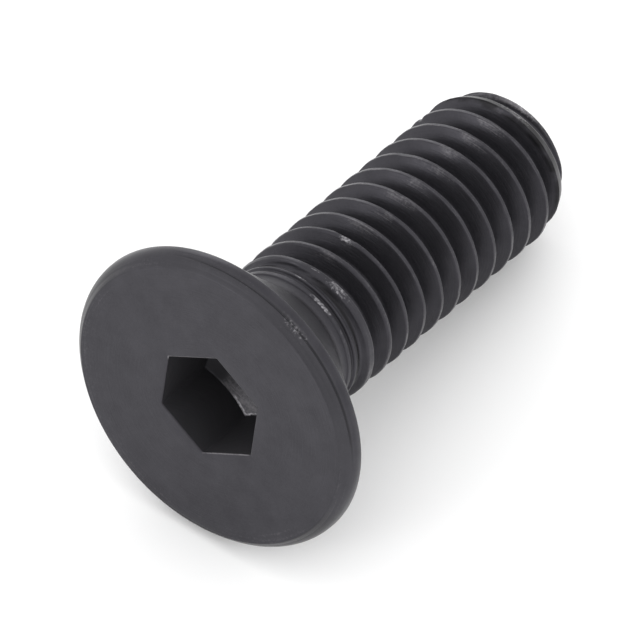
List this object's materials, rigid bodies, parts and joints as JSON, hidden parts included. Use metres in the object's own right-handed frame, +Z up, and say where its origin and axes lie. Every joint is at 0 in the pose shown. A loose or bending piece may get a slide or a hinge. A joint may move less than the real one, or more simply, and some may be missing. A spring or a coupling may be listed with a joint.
{
  "type": "countersunk socket screw",
  "caption": "Flat-head countersunk screw in black-oxide steel, with a hexagon socket and a rolled coarse thread along its whole shank.",
  "frame": {"origin": "on the floor, under the middle of the lying screw's bounding box", "axes": "+Z up; +X along the floor from the head to the tip; the screw lies on the rim of its head and on its thread, so its axis dips 10.8 degrees towards the tip; +Y completes a right-handed frame"},
  "size_m": [0.0128, 0.008, 0.0078],
  "materials": {
    "black_oxide_steel": "black oxide on alloy steel, satin, fine grained, with the bright marks of rolling on the thread and of handling on the rim"
  },
  "bodies": {
    "root": {"screw": "black_oxide_steel"}
  },
  "joints": []
}
